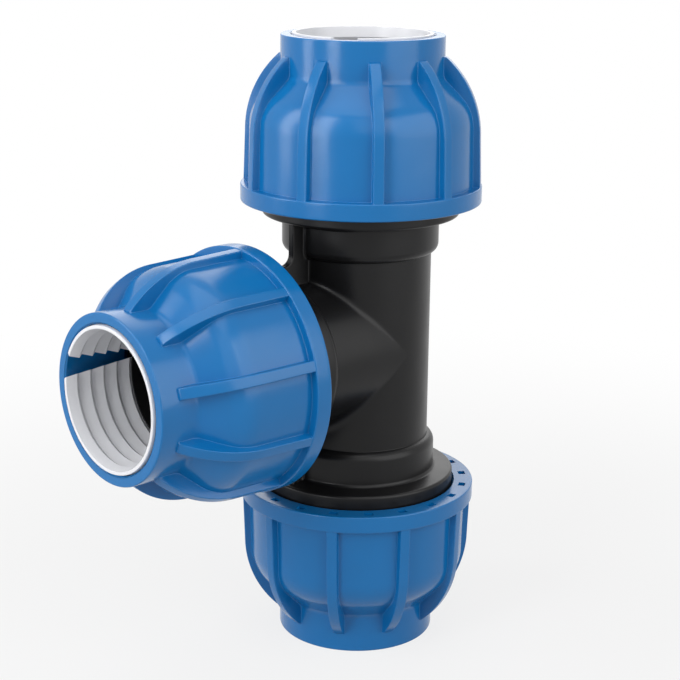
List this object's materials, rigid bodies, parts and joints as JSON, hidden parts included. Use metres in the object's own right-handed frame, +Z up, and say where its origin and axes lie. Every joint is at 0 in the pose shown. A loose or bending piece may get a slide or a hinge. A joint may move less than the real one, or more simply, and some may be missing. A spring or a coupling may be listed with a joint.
{
  "type": "pipe compression tee",
  "caption": "Equal tee with screwed compression nuts, slotted clinch rings, pressure bushes and O-rings, joining plain-ended water pipe without glue.",
  "frame": {"origin": "middle of the bottom nut's end face, which the tee stands on", "axes": "+Z up along the run, out of the top port; -Y along the branch, out of the side port; +X to the right"},
  "size_m": [0.0962, 0.1725, 0.2482],
  "materials": {
    "black_body": "satin moulded",
    "blue_nut": "satin moulded",
    "white_ring": "satin moulded",
    "black_bush": "satin moulded",
    "black_seal": "smooth moulded rubber"
  },
  "bodies": {
    "tee": {"tee_body": "black_body", "top_bush": "black_bush", "top_o_ring": "black_seal", "bottom_bush": "black_bush", "bottom_o_ring": "black_seal", "branch_bush": "black_bush", "branch_o_ring": "black_seal"},
    "top_ring": {"top_clinch_ring": "white_ring"},
    "top_cap": {"top_nut": "blue_nut"},
    "bottom_ring": {"bottom_clinch_ring": "white_ring"},
    "bottom_cap": {"bottom_nut": "blue_nut"},
    "branch_ring": {"branch_clinch_ring": "white_ring"},
    "branch_cap": {"branch_nut": "blue_nut"}
  },
  "joints": [
    {"name": "top_ring_slide", "type": "slide", "parent": "tee", "child": "top_ring", "axis": [0, 0, 1], "range_m": [0, 0.0165]},
    {"name": "top_nut_turn", "type": "hinge", "parent": "top_ring", "child": "top_cap", "pos_m": [0, 0, 0.215], "axis": [0, 0, 1], "range_deg": [0, 1080]},
    {"name": "bottom_ring_slide", "type": "slide", "parent": "tee", "child": "bottom_ring", "axis": [0, 0, -1], "range_m": [0, 0.0165]},
    {"name": "bottom_nut_turn", "type": "hinge", "parent": "bottom_ring", "child": "bottom_cap", "pos_m": [0, 0, 0.0326], "axis": [0, 0, -1], "range_deg": [0, 1080]},
    {"name": "branch_ring_slide", "type": "slide", "parent": "tee", "child": "branch_ring", "axis": [0, -1, 0], "range_m": [0, 0.0165]},
    {"name": "branch_nut_turn", "type": "hinge", "parent": "branch_ring", "child": "branch_cap", "pos_m": [0, -0.0912, 0.1238], "axis": [0, -1, 0], "range_deg": [0, 1080]}
  ],
  "couplings": [
    {"joint": "top_ring_slide", "follows": "top_nut_turn", "m_per_rad": 0.00087535},
    {"joint": "bottom_ring_slide", "follows": "bottom_nut_turn", "m_per_rad": 0.00087535},
    {"joint": "branch_ring_slide", "follows": "branch_nut_turn", "m_per_rad": 0.00087535}
  ]
}
